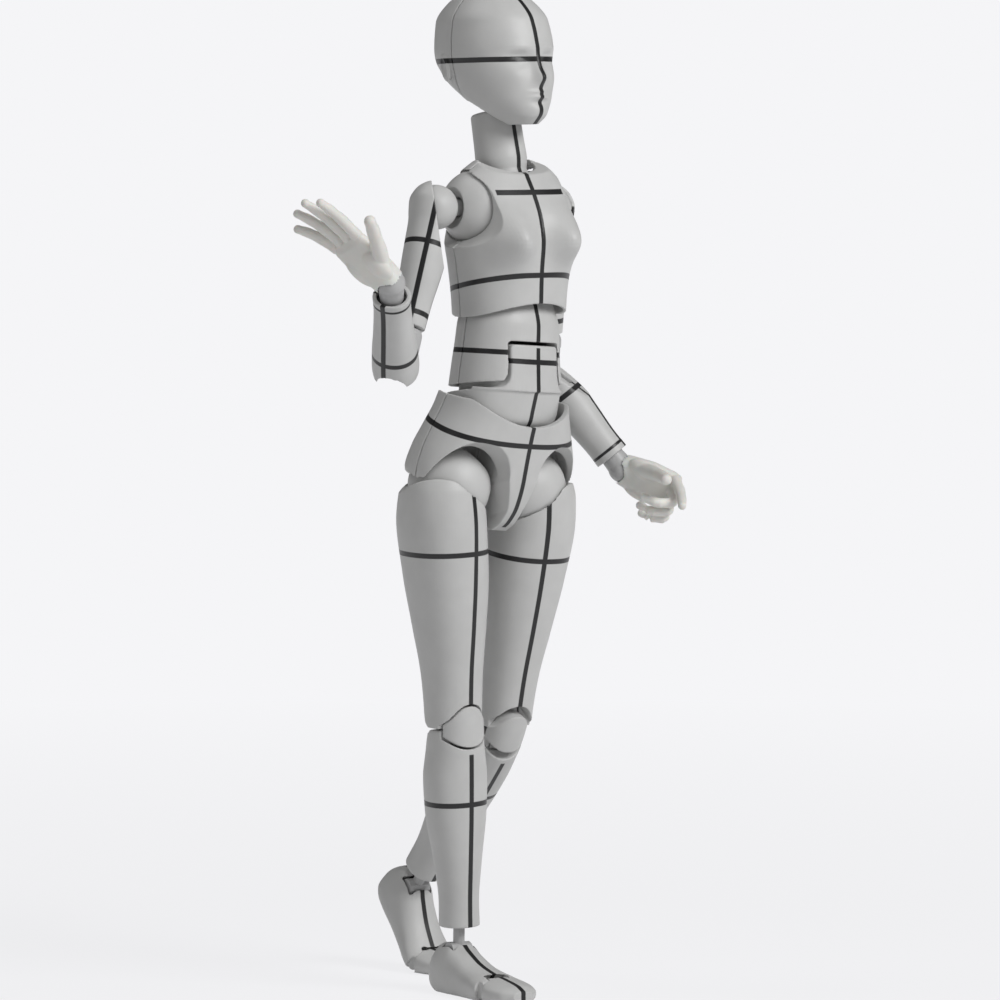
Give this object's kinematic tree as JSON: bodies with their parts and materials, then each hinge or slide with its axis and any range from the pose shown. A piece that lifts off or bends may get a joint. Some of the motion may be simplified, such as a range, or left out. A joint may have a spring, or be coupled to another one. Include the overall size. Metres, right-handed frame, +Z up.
{
  "type": "articulated figure",
  "caption": "Plain jointed drawing figure of slim female build, standing on one leg with the other crossed behind, one hand raised beside the shoulder and the other hanging relaxed.",
  "frame": {"origin": "on the right sole, under the ankle", "axes": "+Z up, the standing foot points to -Y, the figure's left is +X"},
  "size_m": [0.0648, 0.0514, 0.1346],
  "materials": {
    "shell_plastic": "light grey moulded plastic, fine satin skin, printed dark guide lines",
    "joint_plastic": "slightly darker grey moulded joint plastic",
    "hand_plastic": "softer, slightly warmer light grey plastic"
  },
  "bodies": {
    "pelvis_body": {"pelvis_front": "shell_plastic", "pelvis_back": "shell_plastic"},
    "waist_joint_body": {"waist_joint": "joint_plastic"},
    "lower_abdomen_body": {"lower_abdomen": "shell_plastic"},
    "upper_abdomen_body": {"upper_abdomen_front": "shell_plastic", "upper_abdomen_back": "shell_plastic", "middle_joint": "joint_plastic"},
    "chest_joint_body": {"chest_joint": "joint_plastic"},
    "chest_body": {"chest_front": "shell_plastic", "chest_back": "shell_plastic"},
    "neck_base_joint_body": {"neck_base_joint": "joint_plastic"},
    "neck_body": {"neck": "shell_plastic"},
    "head_joint_body": {"head_joint": "joint_plastic"},
    "head_body": {"head_front": "shell_plastic", "head_back": "shell_plastic"},
    "right_shoulder_pivot_body": {"right_shoulder_pivot": "joint_plastic"},
    "right_shoulder_insert_body": {"right_shoulder_insert": "shell_plastic"},
    "right_shoulder_swivel_body": {"right_shoulder_swivel": "joint_plastic"},
    "right_upper_arm_body": {"right_upper_arm": "shell_plastic"},
    "right_elbow_swivel_body": {"right_elbow_swivel": "joint_plastic", "right_elbow_upper_pin": "joint_plastic"},
    "right_elbow_link_body": {"right_elbow_link": "joint_plastic"},
    "right_forearm_body": {"right_forearm": "shell_plastic", "right_elbow_lower_pin": "joint_plastic"},
    "right_wrist_peg_body": {"right_wrist_peg": "joint_plastic"},
    "right_hand_body": {"right_hand": "hand_plastic"},
    "left_shoulder_pivot_body": {"left_shoulder_pivot": "joint_plastic"},
    "left_shoulder_insert_body": {"left_shoulder_insert": "shell_plastic"},
    "left_shoulder_swivel_body": {"left_shoulder_swivel": "joint_plastic"},
    "left_upper_arm_body": {"left_upper_arm": "shell_plastic"},
    "left_elbow_swivel_body": {"left_elbow_swivel": "joint_plastic", "left_elbow_upper_pin": "joint_plastic"},
    "left_elbow_link_body": {"left_elbow_link": "joint_plastic"},
    "left_forearm_body": {"left_forearm": "shell_plastic", "left_elbow_lower_pin": "joint_plastic"},
    "left_wrist_peg_body": {"left_wrist_peg": "joint_plastic"},
    "left_hand_body": {"left_hand": "hand_plastic"},
    "right_hip_axle_body": {"right_hip_axle": "joint_plastic"},
    "right_hip_insert_body": {"right_hip_insert": "shell_plastic"},
    "right_thigh_body": {"right_thigh": "shell_plastic", "right_knee_upper_pin": "joint_plastic"},
    "right_knee_link_body": {"right_knee_link": "joint_plastic"},
    "right_shin_body": {"right_shin": "shell_plastic", "right_knee_lower_pin": "joint_plastic"},
    "right_ankle_joint_body": {"right_ankle_joint": "joint_plastic"},
    "right_foot_body": {"right_foot": "shell_plastic", "right_toe_pin": "joint_plastic"},
    "right_toe_body": {"right_toe": "shell_plastic"},
    "left_hip_axle_body": {"left_hip_axle": "joint_plastic"},
    "left_hip_insert_body": {"left_hip_insert": "shell_plastic"},
    "left_thigh_body": {"left_thigh": "shell_plastic", "left_knee_upper_pin": "joint_plastic"},
    "left_knee_link_body": {"left_knee_link": "joint_plastic"},
    "left_shin_body": {"left_shin": "shell_plastic", "left_knee_lower_pin": "joint_plastic"},
    "left_ankle_joint_body": {"left_ankle_joint": "joint_plastic"},
    "left_foot_body": {"left_foot": "shell_plastic", "left_toe_pin": "joint_plastic"},
    "left_toe_body": {"left_toe": "shell_plastic"}
  },
  "joints": [
    {"name": "waist_twist", "type": "hinge", "parent": "pelvis_body", "child": "waist_joint_body", "pos_m": [0.00498, -0.00228, 0.07852], "axis": [0.0961, -0.1175, 0.9884], "range_deg": [-12, 4]},
    {"name": "waist_bend", "type": "hinge", "parent": "waist_joint_body", "child": "lower_abdomen_body", "pos_m": [0.00498, -0.00228, 0.07852], "axis": [0.9832, 0.166, -0.0758], "range_deg": [-1.5, 14.5]},
    {"name": "abdomen_bend", "type": "hinge", "parent": "lower_abdomen_body", "child": "upper_abdomen_body", "pos_m": [0.00547, -0.00232, 0.0849], "axis": [0.9832, 0.166, -0.0758], "range_deg": [-6, 4]},
    {"name": "chest_tilt", "type": "hinge", "parent": "upper_abdomen_body", "child": "chest_joint_body", "pos_m": [0.00604, -0.00223, 0.09248], "axis": [-0.1664, 0.9861, 0.0014], "range_deg": [-3, 11]},
    {"name": "chest_twist", "type": "hinge", "parent": "chest_joint_body", "child": "chest_body", "pos_m": [0.00604, -0.00223, 0.09248], "axis": [0.0062, -0.0003, 1], "range_deg": [-2, 12]},
    {"name": "neck_turn", "type": "hinge", "parent": "chest_body", "child": "neck_base_joint_body", "pos_m": [0.0061, -0.00164, 0.10888], "axis": [0.0062, -0.0003, 1], "range_deg": [-34.5, 25.5]},
    {"name": "neck_bend", "type": "hinge", "parent": "neck_base_joint_body", "child": "neck_body", "pos_m": [0.0061, -0.00164, 0.10888], "axis": [0.9875, 0.1578, -0.0061], "range_deg": [-3, 27]},
    {"name": "head_turn", "type": "hinge", "parent": "neck_body", "child": "head_joint_body", "pos_m": [0.00576, 0.00094, 0.12121], "axis": [-0.0267, 0.205, 0.9784], "range_deg": [-60, 60]},
    {"name": "head_nod", "type": "hinge", "parent": "head_joint_body", "child": "head_body", "pos_m": [0.00576, 0.00094, 0.12121], "axis": [0.9875, 0.1578, -0.0061], "range_deg": [-25, 5]},
    {"name": "right_arm_swing", "type": "hinge", "parent": "right_shoulder_insert_body", "child": "right_shoulder_swivel_body", "pos_m": [-0.0052, -0.00217, 0.10554], "axis": [-0.9991, -0.0275, 0.0324], "range_deg": [-48.5, 111.5]},
    {"name": "right_arm_raise", "type": "hinge", "parent": "right_shoulder_swivel_body", "child": "right_upper_arm_body", "pos_m": [-0.0052, -0.00217, 0.10554], "axis": [-0.032, 0.9886, -0.1472], "range_deg": [-9, 61]},
    {"name": "right_arm_twist", "type": "hinge", "parent": "right_upper_arm_body", "child": "right_elbow_swivel_body", "pos_m": [-0.01245, -0.00524, 0.0865], "axis": [-0.3517, -0.149, -0.9242], "range_deg": [-84.5, 45.5]},
    {"name": "right_elbow_upper", "type": "hinge", "parent": "right_elbow_swivel_body", "child": "right_elbow_link_body", "pos_m": [-0.01245, -0.00524, 0.0865], "axis": [-0.6897, 0.7088, 0.1482], "range_deg": [-46.5, 25.5]},
    {"name": "right_elbow_lower", "type": "hinge", "parent": "right_elbow_link_body", "child": "right_forearm_body", "pos_m": [-0.01483, -0.00729, 0.0852], "axis": [-0.6897, 0.7088, 0.1482], "range_deg": [-71, 1]},
    {"name": "right_wrist_twist", "type": "hinge", "parent": "right_forearm_body", "child": "right_wrist_peg_body", "pos_m": [-0.02082, -0.01543, 0.09629], "axis": [-0.399, -0.5428, 0.739], "range_deg": [-21.5, 158.5]},
    {"name": "right_wrist_tilt", "type": "hinge", "parent": "right_wrist_peg_body", "child": "right_hand_body", "pos_m": [-0.02082, -0.01543, 0.09629], "axis": [0.6996, 0.3409, 0.628], "range_deg": [-2, 98]},
    {"name": "right_hip_swing", "type": "hinge", "parent": "pelvis_body", "child": "right_hip_axle_body", "pos_m": [-0.00253, -0.00145, 0.06842], "axis": [-0.9916, -0.0973, 0.0848], "range_deg": [-6, 44]},
    {"name": "right_hip_spread", "type": "hinge", "parent": "right_hip_axle_body", "child": "right_hip_insert_body", "pos_m": [-0.00253, -0.00145, 0.06842], "axis": [-0.0958, 0.9952, 0.0219], "range_deg": [-0.5, 37.5]},
    {"name": "right_knee_upper", "type": "hinge", "parent": "right_thigh_body", "child": "right_knee_link_body", "pos_m": [-0.0012, -0.00065, 0.03816], "axis": [0.999, -0.0011, 0.0436], "range_deg": [0, 60]},
    {"name": "right_knee_lower", "type": "hinge", "parent": "right_knee_link_body", "child": "right_shin_body", "pos_m": [-0.00101, -0.00054, 0.03377], "axis": [0.999, -0.0011, 0.0436], "range_deg": [0, 60]},
    {"name": "left_arm_swing", "type": "hinge", "parent": "left_shoulder_insert_body", "child": "left_shoulder_swivel_body", "pos_m": [0.0162, 0.00257, 0.10491], "axis": [-0.8369, -0.5453, 0.0487], "range_deg": [-11, 124]},
    {"name": "left_arm_raise", "type": "hinge", "parent": "left_shoulder_swivel_body", "child": "left_upper_arm_body", "pos_m": [0.0162, 0.00257, 0.10491], "axis": [0.5414, -0.8375, -0.0733], "range_deg": [0, 71]},
    {"name": "left_elbow_upper", "type": "hinge", "parent": "left_elbow_swivel_body", "child": "left_elbow_link_body", "pos_m": [0.01726, 0.00504, 0.08448], "axis": [-0.7144, -0.6893, -0.1202], "range_deg": [-20.5, 51.5]},
    {"name": "left_elbow_lower", "type": "hinge", "parent": "left_elbow_link_body", "child": "left_forearm_body", "pos_m": [0.01825, 0.00457, 0.08127], "axis": [-0.7144, -0.6893, -0.1202], "range_deg": [-20.5, 51.5]},
    {"name": "left_hip_swing", "type": "hinge", "parent": "pelvis_body", "child": "left_hip_axle_body", "pos_m": [0.01037, -0.00018, 0.06732], "axis": [0.9916, 0.0973, -0.0848], "range_deg": [-50.93, 4.07]},
    {"name": "left_hip_spread", "type": "hinge", "parent": "left_hip_axle_body", "child": "left_hip_insert_body", "pos_m": [0.01037, -0.00018, 0.06732], "axis": [0.0846, -0.9863, -0.1419], "range_deg": [-4, 26]},
    {"name": "left_knee_upper", "type": "hinge", "parent": "left_thigh_body", "child": "left_knee_link_body", "pos_m": [0.00952, 0.00406, 0.03733], "axis": [0.9988, 0.0446, -0.022], "range_deg": [-16, 44]},
    {"name": "left_knee_lower", "type": "hinge", "parent": "left_knee_link_body", "child": "left_shin_body", "pos_m": [0.00935, 0.00585, 0.03332], "axis": [0.9988, 0.0446, -0.022], "range_deg": [-14.5, 45.5]},
    {"name": "right_shoulder_swing", "type": "hinge", "parent": "chest_body", "child": "right_shoulder_pivot_body", "pos_m": [0.00189, -0.00197, 0.10531], "axis": [-0.0062, 0.0003, -1], "range_deg": [-8, 22]},
    {"name": "right_shoulder_shrug", "type": "hinge", "parent": "right_shoulder_pivot_body", "child": "right_shoulder_insert_body", "pos_m": [0.00189, -0.00197, 0.10531], "axis": [-0.0275, 0.9996, 0.0005], "range_deg": [-4.5, 5.5]},
    {"name": "left_shoulder_swing", "type": "hinge", "parent": "chest_body", "child": "left_shoulder_pivot_body", "pos_m": [0.01026, -0.0013, 0.10525], "axis": [0.0062, -0.0003, 1], "range_deg": [-33.5, 1.5]},
    {"name": "left_shoulder_shrug", "type": "hinge", "parent": "left_shoulder_pivot_body", "child": "left_shoulder_insert_body", "pos_m": [0.01026, -0.0013, 0.10525], "axis": [0.5457, -0.8379, -0.0037], "range_deg": [-0.5, 9.5]},
    {"name": "left_arm_twist", "type": "hinge", "parent": "left_upper_arm_body", "child": "left_elbow_swivel_body", "pos_m": [0.01726, 0.00504, 0.08448], "axis": [-0.0511, -0.1199, 0.9915], "range_deg": [-36.5, 78.5]},
    {"name": "left_wrist_twist", "type": "hinge", "parent": "left_forearm_body", "child": "left_wrist_peg_body", "pos_m": [0.0257, -0.0011, 0.06955], "axis": [-0.4964, 0.3782, 0.7813], "range_deg": [-42, 78]},
    {"name": "left_wrist_tilt", "type": "hinge", "parent": "left_wrist_peg_body", "child": "left_hand_body", "pos_m": [0.0257, -0.0011, 0.06955], "axis": [0.8318, 0.4647, 0.3036], "range_deg": [-20, 80]},
    {"name": "right_thigh_twist", "type": "hinge", "parent": "right_hip_insert_body", "child": "right_thigh_body", "pos_m": [-0.00253, -0.00145, 0.06842], "axis": [0.0436, 0.0262, -0.9987], "range_deg": [-15.5, 4.5]},
    {"name": "right_ankle_roll", "type": "hinge", "parent": "right_shin_body", "child": "right_ankle_joint_body", "pos_m": [0, 0.00007, 0.0106], "axis": [0, -0.9997, -0.0262], "range_deg": [-7.5, 12.5]},
    {"name": "right_ankle_pitch", "type": "hinge", "parent": "right_ankle_joint_body", "child": "right_foot_body", "pos_m": [0, 0.0002, 0.0056], "axis": [1, 0, 0], "range_deg": [-26.5, 29.5]},
    {"name": "right_toe_bend", "type": "hinge", "parent": "right_foot_body", "child": "right_toe_body", "pos_m": [0, -0.0092, 0.00165], "axis": [-1, 0, 0], "range_deg": [0, 55]},
    {"name": "left_thigh_twist", "type": "hinge", "parent": "left_hip_insert_body", "child": "left_thigh_body", "pos_m": [0.01037, -0.00018, 0.06732], "axis": [0.0281, -0.14, 0.9898], "range_deg": [-7.5, 12.5]},
    {"name": "left_ankle_roll", "type": "hinge", "parent": "left_shin_body", "child": "left_ankle_joint_body", "pos_m": [0.0083, 0.0203, 0.01519], "axis": [-0.0212, 0.7812, 0.6239], "range_deg": [-8.39, 11.61]},
    {"name": "left_ankle_pitch", "type": "hinge", "parent": "left_ankle_joint_body", "child": "left_foot_body", "pos_m": [0.00822, 0.02342, 0.01128], "axis": [0.9996, 0.0271, 0], "range_deg": [-37.5, 18.5]},
    {"name": "left_toe_bend", "type": "hinge", "parent": "left_foot_body", "child": "left_toe_body", "pos_m": [0.00831, 0.02008, 0.00165], "axis": [-0.9996, -0.0271, 0], "range_deg": [-48.1, 6.9]}
  ]
}
